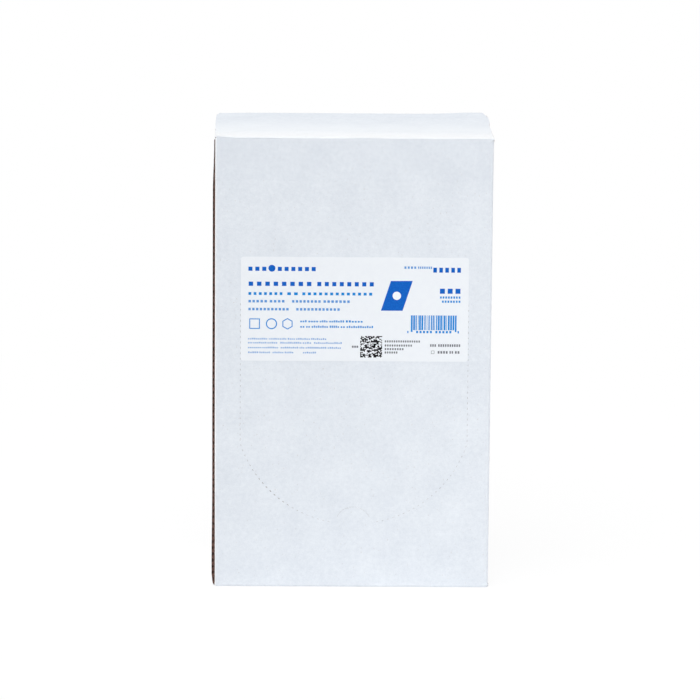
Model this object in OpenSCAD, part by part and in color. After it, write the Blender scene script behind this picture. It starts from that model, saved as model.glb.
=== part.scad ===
// Upright dispenser carton of corrugated board, closed and taped, with a
// tear-out hatch low on its front and an adhesive label across the hatch.
// Origin at the middle of the base, +Z up, the front faces -Y.

/* [Carton] */
// Outside width of the closed carton
carton_w = 152; // [100:1:240]
// Outside depth, front to back
carton_d = 86; // [70:1:160]
// Outside height, standing closed
carton_h = 250.5; // [200:0.5:360]

/* [Corrugated board] */
// Thickness of the board, liner to liner
board_t = 1.6; // [1.3:0.1:2.4]
// Thickness of each flat paper liner
liner_t = 0.25; // [0.15:0.05:0.35]
// Thickness of the fluted paper between the liners
medium_t = 0.2; // [0.1:0.05:0.3]
// Length of one flute wave
flute_pitch = 3.5; // [2.5:0.1:5]
// How far the open flutes run in from a cut edge
flute_reach = 3; // [1:0.5:6]
// Outside radius of a folded edge
fold_r = 1.6; // [1:0.1:2.4]

/* [Closures] */
// Gap beside the glued joint at the left front corner
joint_gap = 0.2; // [0.1:0.05:0.6]
// Gap between the front panel and the tucked edge of the lid or the base
tuck_gap = 0.2; // [0.1:0.05:0.6]
// How far that gap runs down before the panels meet
tuck_depth = 4; // [2:0.5:12]
// How far the lid and the base stop short of each side
lid_inset = 0.6; // [0.2:0.1:1.5]
// How far the lid and the base stand proud of the front panel's cut edges
lid_rise = 1.2; // [0.8:0.1:1.6]
// Radius of the corners of the lid and the base at their hinge
hinge_corner_r = 2.4; // [1:0.1:4]

/* [Tear-out hatch] */
// How far the hatch and its label stand to the right of the front panel's middle
hatch_shift = 0.7; // [-4:0.1:4]
// Margin between the hatch and each fold of the front panel
hatch_margin = 13.2; // [8:0.2:30]
// Height of the lowest point of the hatch
hatch_base = 36.6; // [20:0.2:60]
// Depth of the rounded lower end of the hatch
hatch_bow = 45.6; // [20:0.2:60]
// Height where the perforated sides stop, under the label
hatch_top = 160; // [130:1:175]
// Length of one perforation cut
perf_cut = 1.25; // [1:0.05:3]
// Length of the board bridge left between two cuts
perf_bridge = 1.78; // [0.6:0.01:2.4]
// Width of a cut made by the die's knife
knife_w = 0.2; // [0.15:0.05:0.6]
// Radius of the push-in thumb tab
thumb_r = 9.4; // [6:0.5:14]

/* [Label] */
// Height of the label
label_h = 57.5; // [30:1:70]
// Height of the lower edge of the label
label_base = 127.4; // [110:0.1:140]
// Thickness of the label
label_t = 0.12; // [0.08:0.01:0.2]
// Corner radius of the label
label_r = 1.5; // [0.5:0.1:4]

/* [Sealing tape] */
// Width of the tape on the front panel
tape_front = 22.5; // [12:0.5:36]
// Width of the tape on the lid
tape_top = 25.5; // [12:0.5:36]
// Length of tape carried round each side
tape_wrap = 30; // [12:1:60]
// Thickness of the tape
tape_t = 0.1; // [0.05:0.01:0.2]

/* [Hidden] */
$fn = 48;

half_w = carton_w / 2;
half_d = carton_d / 2;

// The dust flaps lie under the lid and on the base, board on board
flap_low = board_t;
flap_high = carton_h - board_t;
tube_h = flap_high - flap_low;

// Cut top edge of the front panel; the bottom one is its mirror image
edge_z = carton_h - lid_rise;

// Fold of the front panel beside the glued joint, and the panel's middle
fold_x = -half_w + board_t + joint_gap;
front_mid = (fold_x + half_w) / 2;
hatch_mid = front_mid + hatch_shift;

// The lid and the base: half width, and where their tucked edges stand
lid_half_w = half_w - lid_inset;
tuck_y = -half_d + board_t + tuck_gap;
closure_depth = 2 * max(board_t, fold_r);

// Hatch outline: straight sides on a circular arc that passes through them
hatch_w = half_w - fold_x - 2 * hatch_margin;
hatch_half = hatch_w / 2;
hatch_arc_r = (hatch_half * hatch_half + hatch_bow * hatch_bow) / (2 * hatch_bow);
hatch_arc_z = hatch_base + hatch_arc_r;
hatch_side_z = hatch_base + hatch_bow;
hatch_side_angle = asin((hatch_arc_z - hatch_side_z) / hatch_arc_r);
perf_pitch = perf_cut + perf_bridge;
thumb_gap = 2;
thumb_angle = asin((thumb_r + thumb_gap) / hatch_arc_r);

// Flat facets of the tape where it bends over the round of the lid
tape_bends = 4;

// Flutes: the fluted paper swings between the liners
flute_swing = (board_t - 2 * liner_t - medium_t) / 2;

white_board = [0.93, 0.94, 0.96];
label_white = [0.97, 0.98, 0.99];
clear_tape = [0.92, 0.95, 0.97, 0.35];

// A rectangle from one corner to the opposite one
module span(from, to) {
    translate(from) square(to - from);
}

// A rectangle with the same round at each corner
module rounded_span(from, to, r) {
    span([from.x + r, from.y], [to.x - r, to.y]);
    span([from.x, from.y + r], [to.x, to.y - r]);
    for (x = [from.x + r, to.x - r], y = [from.y + r, to.y - r])
        translate([x, y]) circle(r);
}

// Lays a profile drawn in X and Z along Y, from y0 to y1
module along_y(y0, y1) {
    translate([0, y1, 0]) rotate([90, 0, 0]) linear_extrude(y1 - y0) children();
}

// Lays a profile drawn in Y and Z along X, from x0 to x1
module along_x(x0, x1) {
    translate([x0, 0, 0]) rotate([90, 0, 90]) linear_extrude(x1 - x0) children();
}

// Plan of the upright tube: three folded corners, and the glued joint where
// the cut end of the left panel stands beside the fold of the front panel
module tube_plan() {
    rounded_span([fold_x, -half_d], [half_w, half_d], fold_r);
    span([-half_w, -half_d], [-half_w + board_t, -half_d + fold_r]);
    span([-half_w, -half_d + fold_r], [0, half_d - fold_r]);
    span([-half_w + fold_r, 0], [0, half_d]);
    translate([-half_w + fold_r, half_d - fold_r]) circle(fold_r);
}

// The side panels fold inward at the top and the bottom as dust flaps
module tube() {
    intersection() {
        translate([0, 0, flap_low]) linear_extrude(tube_h) tube_plan();
        along_y(-half_d, half_d)
            rounded_span([-half_w, flap_low], [half_w, flap_high], fold_r);
    }
    along_y(-half_d, -half_d + board_t)
        span([fold_x + fold_r, lid_rise], [half_w - fold_r, edge_z]);
}

// A closing panel, folded off the back panel and tucked in behind the front
// one; drawn as the lid, with its outer face at the top of the carton
module closing_panel() {
    intersection() {
        along_x(-lid_half_w, lid_half_w) {
            span([tuck_y, carton_h - closure_depth], [half_d, carton_h - fold_r]);
            span([tuck_y + fold_r, carton_h - closure_depth],
                 [half_d - fold_r, carton_h]);
            for (y = [tuck_y + fold_r, half_d - fold_r])
                translate([y, carton_h - fold_r]) circle(fold_r);
        }
        translate([0, 0, carton_h - 2 * closure_depth])
            linear_extrude(3 * closure_depth) {
                rounded_span([-lid_half_w, 0], [lid_half_w, half_d], hinge_corner_r);
                span([-lid_half_w, tuck_y], [lid_half_w, half_d - hinge_corner_r]);
            }
    }
}

// The gap between the front panel and a tucked panel, drawn at the lid
module tuck_seam() {
    translate([-half_w + 2 * board_t, -half_d + board_t, flap_high - tuck_depth])
        cube([carton_w - 4 * board_t, tuck_gap, tuck_depth + board_t]);
}

// Runs its children at the lid and, mirrored, at the base
module both_ends() {
    children();
    translate([0, 0, carton_h]) mirror([0, 0, 1]) children();
}

// How far the middle of the fluted paper stands from the middle of the board
function flute_wave(phase) = flute_swing * cos(360 * phase);

// Half the height of the fluted paper where it crosses the board on a slope
function flute_skin(phase) =
    medium_t / 2 * norm([1, flute_swing * 2 * PI / flute_pitch * sin(360 * phase)]);

// One open space between a liner and the fluted paper, for the wave that
// starts at the given place; side is 1 at one liner and -1 at the other
module flute_space(start, side) {
    liner = board_t / 2 - liner_t;
    phases = [0.27, 0.42, 0.58, 0.73];
    edge = [for (p = phases) [start + p * flute_pitch, flute_wave(p) + flute_skin(p)]];
    outline = concat([[start + 0.1 * flute_pitch, liner]], edge,
                     [[start + 0.9 * flute_pitch, liner]]);
    polygon([for (p = outline) [p.x, board_t / 2 + side * p.y]]);
}

// Open flutes in a cut edge that runs along X from the origin, with the
// board's thickness along Y; they go in along +Z
module open_flutes(length) {
    waves = floor(length / flute_pitch - 0.5);
    first = (length - (waves + 0.5) * flute_pitch) / 2;
    translate([0, 0, -1]) linear_extrude(flute_reach + 1)
        for (i = [0:waves - 1]) {
            flute_space(first + i * flute_pitch, 1);
            flute_space(first + (i + 0.5) * flute_pitch, -1);
        }
}

// Cut end of the left panel, facing forward at the glued joint
module joint_flutes() {
    translate([-half_w, -half_d, flap_low + fold_r])
        rotate([-90, -90, 0]) open_flutes(tube_h - 2 * fold_r);
}

// Cut left and right edges of the lid
module lid_flutes() {
    run = half_d - max(fold_r, hinge_corner_r) - tuck_y - fold_r;
    for (side = [0, 1])
        mirror([side, 0, 0])
            translate([lid_half_w, tuck_y + fold_r, carton_h - board_t])
                rotate([90, 0, 90]) mirror([0, 0, 1]) open_flutes(run);
}

// Cut top edge of the front panel: the knife ran along the flutes there, so
// it leaves one long space on each side of the fluted paper
module front_edge_spaces() {
    for (y = [liner_t, liner_t + flute_swing + medium_t])
        translate([fold_x + fold_r, -half_d + y, edge_z - flute_swing])
            cube([half_w - fold_x - 2 * fold_r, flute_swing, board_t]);
}

// One knife cut through the front panel, at a point of it and at an angle
module knife_cut(x, z, angle, length) {
    translate([x, -half_d, z]) rotate([0, -angle, 0])
        translate([-length / 2, -board_t, -knife_w / 2])
            cube([length, 2 * board_t, knife_w]);
}

// Perforated outline of the hatch: two straight sides, then the arc down to
// the thumb tab from each of them
module hatch_perforation() {
    side_cuts = floor((hatch_top - hatch_side_z) / perf_pitch);
    arc_span = 90 - hatch_side_angle - thumb_angle;
    arc_cuts = floor(arc_span * PI / 180 * hatch_arc_r / perf_pitch);
    for (side = [-1, 1]) {
        for (i = [0:side_cuts - 1])
            knife_cut(hatch_mid + side * hatch_half,
                      hatch_side_z + (i + 0.5) * perf_pitch, 90, perf_cut);
        for (i = [0:arc_cuts - 1]) {
            turn = hatch_side_angle + (i + 0.5) * arc_span / arc_cuts;
            knife_cut(hatch_mid + side * hatch_arc_r * cos(turn),
                      hatch_arc_z - hatch_arc_r * sin(turn),
                      side * (90 - turn), perf_cut);
        }
    }
}

// Curved slit that frees the thumb tab above the lowest point of the hatch
module thumb_slit() {
    along_y(-half_d - board_t, -half_d + board_t)
        translate([hatch_mid, hatch_base])
            difference() {
                circle(thumb_r + knife_w / 2);
                circle(thumb_r - knife_w / 2);
                span([-2 * thumb_r, -2 * thumb_r], [2 * thumb_r, 0]);
            }
}

// The carton, folded from one blank, closed and full
module carton() {
    color(white_board)
        difference() {
            union() {
                difference() {
                    tube();
                    both_ends() tuck_seam();
                    both_ends() front_edge_spaces();
                }
                both_ends() closing_panel();
            }
            joint_flutes();
            both_ends() lid_flutes();
            hatch_perforation();
            thumb_slit();
        }
}

// Adhesive label, as wide as the hatch and stuck over its upper part
module label() {
    color(label_white)
        along_y(-half_d - label_t, -half_d)
            rounded_span([hatch_mid - hatch_half, label_base],
                         [hatch_mid + hatch_half, label_base + label_h], label_r);
}

// Plan of the tape: round the front and a little way back along each side
module tape_plan() {
    back_y = -half_d + tape_wrap;
    difference() {
        union() {
            span([-half_w - tape_t, -half_d - tape_t], [half_w - fold_r, back_y]);
            span([-half_w, -half_d + fold_r], [half_w + tape_t, back_y]);
            translate([half_w - fold_r, -half_d + fold_r]) circle(fold_r + tape_t);
        }
        tube_plan();
        span([-half_w, -half_d], [fold_x + fold_r, half_d]);
    }
}

// Line that leads from the cut edge of the front panel straight across the
// step to the round of the lid and back along the lid, at a height above them
function tape_line(above) =
    let (
        centre = [tuck_y + fold_r, carton_h - fold_r],
        across = centre - [-half_d, edge_z],
        rise = asin(fold_r / norm(across)) + atan2(across.y, across.x),
        turn = rise / tape_bends,
        reach = (fold_r + above) / cos(turn / 2)
    )
    concat([[-half_d - above, edge_z]],
           [for (i = [0.5:tape_bends])
               centre + reach * [-sin(rise - i * turn), cos(rise - i * turn)]],
           [[-half_d + tape_top, carton_h + above]]);

// Line that leads up the side panel, over its fold and straight across to the
// side edge of the lid, at a height above them
function shoulder_line(above) =
    let (
        centre = [half_w - fold_r, flap_high - fold_r],
        across = [lid_half_w, carton_h] - centre,
        lean = asin(fold_r / norm(across)) - atan2(across.x, across.y),
        turn = lean / tape_bends,
        reach = (fold_r + above) / cos(turn / 2)
    )
    concat([[half_w + above, centre.y - fold_r]],
           [for (i = [0.5:tape_bends])
               centre + reach * [cos(i * turn), sin(i * turn)]],
           [[lid_half_w + above * (1 - sin(lean)) / cos(lean), carton_h + above],
            [lid_half_w - fold_r, carton_h + above]]);

function reversed(points) = [for (i = [len(points) - 1:-1:0]) points[i]];

// Clear tape over the joint of the lid and the front panel
module top_tape() {
    low = edge_z - tape_front;
    color(clear_tape) {
        translate([0, 0, low])
            linear_extrude(flap_high - fold_r - low) tape_plan();
        along_y(-half_d - tape_t, -half_d)
            span([fold_x + fold_r, low], [half_w - fold_r, edge_z]);
        along_x(-lid_half_w, lid_half_w)
            polygon(concat(tape_line(0), reversed(tape_line(tape_t))));
        for (side = [0, 1])
            mirror([side, 0, 0])
                along_y(tuck_y + fold_r, -half_d + tape_top)
                    polygon(concat(shoulder_line(0), reversed(shoulder_line(tape_t))));
    }
}

carton();
label();
top_tape();
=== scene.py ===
"""Upright dispenser carton of white-faced corrugated board, closed and taped.

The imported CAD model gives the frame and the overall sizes. The folded board,
its open flutes, the label with its print, and the sealing tape are built here
as thin sheets that follow that frame. Lengths are in metres.
"""

import logging
import math
import random
from dataclasses import dataclass, field
from enum import Enum
from typing import Any, Callable, Sequence

import bmesh
import bpy
import numpy as np
from mathutils import Matrix, Vector
from mathutils.geometry import delaunay_2d_cdt
from mathutils.kdtree import KDTree


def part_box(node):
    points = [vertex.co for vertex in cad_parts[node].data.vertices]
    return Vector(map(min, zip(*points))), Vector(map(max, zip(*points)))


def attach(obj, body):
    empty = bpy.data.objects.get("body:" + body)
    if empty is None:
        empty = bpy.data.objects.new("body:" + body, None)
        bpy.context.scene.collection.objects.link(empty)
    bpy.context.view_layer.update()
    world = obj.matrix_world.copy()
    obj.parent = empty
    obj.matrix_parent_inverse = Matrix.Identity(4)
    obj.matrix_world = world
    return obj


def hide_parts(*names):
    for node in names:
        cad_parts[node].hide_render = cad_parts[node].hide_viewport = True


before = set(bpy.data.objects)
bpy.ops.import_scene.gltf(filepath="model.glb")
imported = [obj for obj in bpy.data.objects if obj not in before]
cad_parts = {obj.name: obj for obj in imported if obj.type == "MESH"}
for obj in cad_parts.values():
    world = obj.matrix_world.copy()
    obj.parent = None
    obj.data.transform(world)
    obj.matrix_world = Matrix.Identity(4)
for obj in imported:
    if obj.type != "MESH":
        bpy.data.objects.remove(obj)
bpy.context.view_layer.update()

LOG = logging.getLogger("carton")
MM = 0.001
BODY = "root"

Pair = tuple[float, float]
Place = tuple[float, float, float]
Colour = tuple[float, float, float]
Warp = Callable[[np.ndarray], np.ndarray]

WHITE: Colour = (1.0, 1.0, 1.0)
UP: Pair = (0.0, 1.0)
SMOOTH: dict[str, str] = {"interpolation_type": "SMOOTHSTEP"}


def linear(part: float) -> float:
    """Turns one part of a display colour, 0 to 255, into its linear value."""
    share = part / 255
    return share / 12.92 if share <= 0.04045 else ((share + 0.055) / 1.055) ** 2.4


def srgb(red: float, green: float, blue: float) -> Colour:
    """Turns a display colour, each part 0 to 255, into one that shaders take."""
    return linear(red), linear(green), linear(blue)


def ease(low: float, high: float, value: np.ndarray) -> np.ndarray:
    """Rises smoothly from 0 at low to 1 at high."""
    t = np.clip((value - low) / (high - low), 0, 1)
    return t * t * (3 - 2 * t)


def bell(value: Any, middle: float, reach: float, power: float = 2) -> Any:
    """Falls smoothly from 1 at the middle to a third of that at its reach."""
    return np.exp(-(((value - middle) / reach) ** power))


def spread(start: float, stop: float, step: float) -> list[float]:
    """Places points evenly, ends included, no further apart than the step."""
    count = max(2, math.ceil(abs(stop - start) / step) + 1)
    return np.linspace(start, stop, count).tolist()


def arc(start: float, stop: float, steps: int) -> list[Pair]:
    """Gives cosine and sine of evenly spaced angles, in degrees, ends included."""
    angles = np.radians(np.linspace(start, stop, steps + 1))
    return [(math.cos(a), math.sin(a)) for a in angles]


def put(name: str, data: Any) -> bpy.types.Object:
    """Puts an object into the scene.

    Args:
        name: Its name.
        data: Its mesh, light or camera.

    Returns:
        The object.
    """
    made = bpy.data.objects.new(name, data)
    bpy.context.scene.collection.objects.link(made)
    return made


class Slot(Enum):
    """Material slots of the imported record."""

    BOARD = "white_faced_board"
    LABEL = "label_paper"
    TAPE = "clear_tape"


# ---------------------------------------------------------------------------
# Shaders


class Sock:
    """A socket that carries a value and takes part in Python arithmetic."""

    def __init__(self, recipe: "Recipe", socket: bpy.types.NodeSocket) -> None:
        """Wraps a socket of the recipe's node tree."""
        self.recipe, self.socket = recipe, socket

    def _math(self, operation: str, first: Any, second: Any = 0.0) -> "Sock":
        """Adds a Math node for one or two values or sockets."""
        values = {0: first, 1: second}
        return self.recipe.node("ShaderNodeMath", values, operation=operation)

    def __add__(self, other: Any) -> "Sock":
        """Adds a value or socket."""
        return self._math("ADD", self, other)

    __radd__ = __add__

    def __sub__(self, other: Any) -> "Sock":
        """Takes a value or socket away."""
        return self._math("SUBTRACT", self, other)

    def __rsub__(self, other: Any) -> "Sock":
        """Takes this socket away from a value."""
        return self._math("SUBTRACT", other, self)

    def __mul__(self, other: Any) -> "Sock":
        """Multiplies by a value or socket."""
        return self._math("MULTIPLY", self, other)

    __rmul__ = __mul__

    def __pow__(self, other: Any) -> "Sock":
        """Raises this socket to a power."""
        return self._math("POWER", self, other)

    def __gt__(self, other: Any) -> "Sock":
        """Is 1 where this socket is above a value, else 0."""
        return self._math("GREATER_THAN", self, other)

    def sine(self) -> "Sock":
        """Gives the sine of the value, in radians."""
        return self._math("SINE", self)

    def size(self) -> "Sock":
        """Gives the value without its sign."""
        return self._math("ABSOLUTE", self)

    def swing(self, share: float) -> "Sock":
        """Turns a pattern round 0.5 into one round 0, times its share."""
        return (self - 0.5) * share

    def rise(self, low: float, high: float) -> "Sock":
        """Maps low to 0 and high to 1 with a smooth step."""
        inputs = {"Value": self, "From Min": low, "From Max": high}
        return self.recipe.node("ShaderNodeMapRange", inputs, **SMOOTH)


@dataclass(frozen=True)
class Grain:
    """A noise pattern: the size of its spots, its finer layers and its share."""

    size: float
    layers: float
    share: float = 1.0


class Recipe:
    """Builds the node tree of one material or of the world."""

    def __init__(self, owner: bpy.types.Material | bpy.types.World) -> None:
        """Empties a node tree and starts from nothing.

        Args:
            owner: The material or world that has the tree.
        """
        owner.use_nodes = True
        self.owner, self.tree = owner, owner.node_tree
        self.tree.nodes.clear()

    @classmethod
    def material(cls, name: str) -> "Recipe":
        """Starts the recipe of a new material with that name."""
        return cls(bpy.data.materials.new(name))

    def add(
        self, kind: str, inputs: dict[str | int, Any], **settings: Any
    ) -> bpy.types.Node:
        """Adds any node.

        Args:
            kind: The node's type.
            inputs: Values or links of its sockets, by name or index.
            settings: Its own settings, set before its sockets.

        Returns:
            The node.
        """
        made = self.tree.nodes.new(kind)
        for key, value in settings.items():
            setattr(made, key, value)
        for key, value in inputs.items():
            target = made.inputs[key]
            if isinstance(value, Sock):
                self.tree.links.new(value.socket, target)
            elif isinstance(value, tuple) and target.type == "RGBA":
                target.default_value = (*value, 1.0)
            else:
                target.default_value = value
        return made

    def node(
        self,
        kind: str,
        inputs: dict[str | int, Any] | None = None,
        output: str | int = 0,
        **settings: Any,
    ) -> Sock:
        """Adds any node and gives one output, picked by name or index."""
        return Sock(self, self.add(kind, inputs or {}, **settings).outputs[output])

    def place(self) -> Sock:
        """Gives the surface point in the piece's own frame, in metres."""
        return self.node("ShaderNodeTexCoord", output="Object")

    def split(self, vector: Sock) -> list[Sock]:
        """Splits a point or a direction into x, y and z."""
        parts = self.add("ShaderNodeSeparateXYZ", {0: vector}).outputs
        return [Sock(self, part) for part in parts]

    def noise(self, place: Sock, grain: Grain) -> Sock:
        """Adds a noise pattern round 0.5."""
        values = {"Vector": place, "Scale": 1 / grain.size, "Detail": grain.layers}
        return self.node("ShaderNodeTexNoise", values)

    def mottled(self, place: Sock, grains: Sequence[Grain]) -> tuple[Sock, ...]:
        """Adds noise patterns and mixes them into one tone.

        Args:
            place: The point to look up.
            grains: Their sizes.

        Returns:
            Each pattern and, last, the tone, all round 0.5.
        """
        made = [self.noise(place, grain) for grain in grains]
        tone, *others = (m.swing(g.share) for m, g in zip(made, grains))
        for other in others:
            tone += other
        return *made, tone + 0.5

    def blend(self, low: Any, high: Any, factor: Any) -> Sock:
        """Mixes two colours, from low at factor 0 to high at factor 1."""
        kind, values = "ShaderNodeMix", {0: factor, 6: low, 7: high}
        return self.node(kind, values, 2, data_type="RGBA", clamp_factor=True)

    def relief(self, height: Sock) -> Sock:
        """Turns a height over the surface, in metres, into a bent normal."""
        values = {"Height": height, "Strength": 1.0, "Distance": 1.0}
        return self.node("ShaderNodeBump", values)

    def finish(self, surface: Sock) -> Any:
        """Links the surface to the output.

        Args:
            surface: The shader to show.

        Returns:
            The material or world that owns the tree.
        """
        world = isinstance(self.owner, bpy.types.World)
        kind = "ShaderNodeOutputWorld" if world else "ShaderNodeOutputMaterial"
        self.add(kind, {"Surface": surface})
        return self.owner

    def plain(self, colour: Any, roughness: Any, others: dict[str, Any]) -> Any:
        """Finishes with one surface, whose other sockets go by name."""
        values = {"Base Color": colour, "Roughness": roughness, **others}
        return self.finish(self.node("ShaderNodeBsdfPrincipled", values))


@dataclass(frozen=True)
class BoardFinish:
    """White-faced board: a mottled white liner over brown paper."""

    pale: Colour = srgb(231, 236, 242)
    deep: Colour = srgb(216, 222, 230)
    kraft_pale: Colour = srgb(116, 84, 73)
    kraft_deep: Colour = srgb(74, 50, 43)
    grains: tuple[Grain, ...] = (
        Grain(16 * MM, 3.0, 0.9),
        Grain(2.4 * MM, 3.0, 1.1),
        Grain(0.7 * MM, 2.0, 0.85),
    )
    speck: Colour = srgb(176, 164, 156)
    speck_grain: Grain = Grain(0.8 * MM, 0.0)
    speck_limit: float = 0.82
    speck_share: float = 0.32
    liner: Pair = (0.04, 0.10)
    rib_pitch: float = 3.5 * MM
    rib_height: float = 0.006 * MM
    tooth: float = 0.010 * MM
    roughness: float = 0.72
    uneven: float = 0.2
    steep: float = 0.7
    # The next three settings paint light: a pale colour laid over the white liner as a
    # painted sheen on the lid and base, paler towards the front, and, with the crease
    # range below, as a painted highlight along the fold beside the glued joint.
    painted_highlight: Colour = srgb(250, 252, 254)
    painted_sheen_share: float = 0.6
    painted_sheen_span: Pair = (-38 * MM, 34 * MM)
    # The crease range: where the painted highlight beside the glued joint fades out
    # across the front panel.
    crease: Pair = (-74.15 * MM, -73.9 * MM)

    def build(self) -> bpy.types.Material:
        """Builds the material.

        Returns:
            White where the sheet's depth is near nothing, with a painted sheen on the
            lid and base and a painted highlight along the left fold, brown below that.
        """
        r = Recipe.material("white_faced_board")
        place = r.place()
        _, mottle, fibre, tone = r.mottled(place, self.grains)
        white = r.blend(self.deep, self.pale, tone)
        speck = r.noise(place, self.speck_grain) > self.speck_limit
        white = r.blend(white, self.speck, speck * self.speck_share)
        x, y, z = r.split(place)
        normal = r.node("ShaderNodeNewGeometry", output="True Normal")
        level = r.split(normal)[2].size() > self.steep
        # Painted sheen: level faces of the lid and the base are painted paler towards
        # the front, as light would fall on them.
        painted_lid_sheen = level * self.painted_sheen_share * (1 - y.rise(*self.painted_sheen_span))
        # Painted highlight: faces that are not level and lie left of the crease range
        # are painted paler; this covers the fold beside the glued joint and the whole
        # left side panel.
        crease = (1 - x.rise(*self.crease)) * (1 - level)
        white = r.blend(white, self.painted_highlight, painted_lid_sheen + crease)
        kraft = r.blend(self.kraft_deep, self.kraft_pale, tone)
        depth = r.node("ShaderNodeAttribute", output="Fac", attribute_name="depth")
        colour = r.blend(white, kraft, depth.rise(*self.liner))
        ribs = ((z + y * level) * (2 * math.pi / self.rib_pitch)).sine()
        height = ribs * self.rib_height
        height += mottle.swing(self.tooth * 2) + fibre.swing(self.tooth)
        roughness = self.roughness + mottle.swing(self.uneven)
        return r.plain(colour, roughness, {"Normal": r.relief(height)})


@dataclass(frozen=True)
class PaperFinish:
    """Paper of one tone, with coarse spots and fine fibres."""

    name: str
    pale: Colour
    deep: Colour
    grains: tuple[Grain, Grain]
    tooth: float
    roughness: float
    uneven: Pair

    def build(self) -> bpy.types.Material:
        """Builds the material.

        Returns:
            The paper, between its pale and its deep colour.
        """
        r = Recipe.material(self.name)
        spots, fibre, tone = r.mottled(r.place(), self.grains)
        roughness = self.roughness + spots.swing(self.uneven[0])
        roughness += fibre.swing(self.uneven[1])
        colour, normal = r.blend(self.deep, self.pale, tone), fibre.swing(self.tooth)
        return r.plain(colour, roughness, {"Normal": r.relief(normal)})


KRAFT = PaperFinish(
    name="kraft_paper",
    pale=srgb(114, 82, 72),
    deep=srgb(70, 47, 41),
    grains=(Grain(1.2 * MM, 3.0, 1.6), Grain(0.25 * MM, 2.0, 1.2)),
    tooth=0.02 * MM,
    roughness=0.85,
    uneven=(0.0, 0.2),
)
LABEL_PAPER = PaperFinish(
    name="label_paper",
    pale=srgb(238, 242, 246),
    deep=srgb(233, 237, 243),
    grains=(Grain(3.0 * MM, 3.0), Grain(0.5 * MM, 2.0)),
    tooth=0.003 * MM,
    roughness=0.42,
    uneven=(0.16, 0.0),
)


@dataclass(frozen=True)
class InkFinish:
    """Printing ink on the label, laid down a little unevenly."""

    name: str
    full: Colour
    thin: Colour
    specular: float
    grain: Grain = Grain(0.6 * MM, 3.0)
    thinned: Pair = (0.35, 0.8)
    roughness: float = 0.48
    uneven: float = 0.2

    def build(self) -> bpy.types.Material:
        """Builds the material.

        Returns:
            The ink, between its full and its thin colour.
        """
        r = Recipe.material(self.name)
        pattern = r.noise(r.place(), self.grain)
        colour = r.blend(self.full, self.thin, pattern.rise(*self.thinned))
        roughness = self.roughness + pattern.swing(self.uneven)
        return r.plain(colour, roughness, {"Specular IOR Level": self.specular})


@dataclass(frozen=True)
class FilmFinish:
    """Clear glossy tape: seen through, with a sheen that grows at low angles."""

    tint: Colour = (0.99, 0.992, 0.995)
    head_on: float = 0.02
    low_angle: float = 0.8
    falloff: float = 5.0
    wet_span: Pair = (-40 * MM, -17.5 * MM)
    wet_share: float = 0.85
    roughness: float = 0.16
    ripple: Grain = Grain(9.0 * MM, 2.0)
    ripple_height: float = 0.05 * MM

    def build(self) -> bpy.types.Material:
        """Builds the material.

        Returns:
            A mix of a clear and a glossy surface.
        """
        r = Recipe.material("clear_tape")
        place = r.place()
        normal = r.relief(r.noise(place, self.ripple).swing(self.ripple_height))
        angle = {"Blend": 0.5, "Normal": normal}
        facing = r.node("ShaderNodeLayerWeight", angle, "Facing")
        y = r.split(place)[1]
        wetted = 1 - y.rise(*self.wet_span) * self.wet_share
        sheen = self.head_on + facing**self.falloff * self.low_angle * wetted
        clear = r.node("ShaderNodeBsdfTransparent", {"Color": self.tint})
        shine = {"Color": WHITE, "Roughness": self.roughness, "Normal": normal}
        gloss = r.node("ShaderNodeBsdfAnisotropic", shine)
        return r.finish(r.node("ShaderNodeMixShader", {0: sheen, 1: clear, 2: gloss}))


# ---------------------------------------------------------------------------
# Sizes and shared shape


@dataclass(frozen=True)
class CartonSizes:
    """Overall sizes of the carton and the sizes of its board."""

    half_w: float
    half_d: float
    height: float
    board: float = 1.6 * MM
    liner: float = 0.25 * MM
    medium: float = 0.2 * MM
    flute_pitch: float = 3.5 * MM
    flute_reach: float = 3.0 * MM
    fold: float = 1.6 * MM
    joint_fold: float = 0.75 * MM
    joint_board: float = 1.22 * MM
    joint_recess: float = 0.7 * MM
    joint_gap: float = 0.02 * MM
    fold_gap: float = 0.2 * MM
    tuck_gap: float = 0.06 * MM
    lid_inset: float = 0.6 * MM
    lid_rise: float = 0.7 * MM
    nose_dip: float = 0.08 * MM
    nose_y: float = 0.72 * MM
    nose_rim: float = 0.6 * MM

    @classmethod
    def from_frame(cls) -> "CartonSizes":
        """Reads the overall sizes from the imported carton."""
        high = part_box("carton")[1]
        return cls(half_w=high.x, half_d=high.y, height=high.z)

    @property
    def fold_x(self) -> float:
        """Place of the front panel's fold beside the glued joint."""
        return -self.half_w + self.board + self.fold_gap

    @property
    def joint_x(self) -> float:
        """Place of the same fold where the glued boards are pressed together."""
        return -self.half_w + self.joint_board + self.joint_gap

    @property
    def front_mid(self) -> float:
        """Middle of the front panel."""
        return (self.fold_x + self.half_w) / 2

    @property
    def flap_z(self) -> float:
        """Height of the outer face of the dust flaps."""
        return self.height - self.board

    @property
    def crease_z(self) -> float:
        """Height where the side panels start to fold inward."""
        return self.flap_z - self.fold

    @property
    def edge_z(self) -> float:
        """Height of the front panel's cut top edge."""
        return self.height - self.lid_rise

    @property
    def lid_half_w(self) -> float:
        """Half the width of the lid."""
        return self.half_w - self.lid_inset

    @property
    def tuck_y(self) -> float:
        """Place of the lid's tucked edge, behind the front panel."""
        return -self.half_d + self.board + self.tuck_gap

    @property
    def nose_r(self) -> float:
        """Radius of the lid's front fold, which rests on the front panel's edge."""
        return self.lid_rise + self.nose_dip

    @property
    def nose_mid(self) -> Pair:
        """Centre of that fold, front to back and in height."""
        return -self.half_d + self.nose_y + self.nose_r, self.height - self.nose_r


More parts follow.
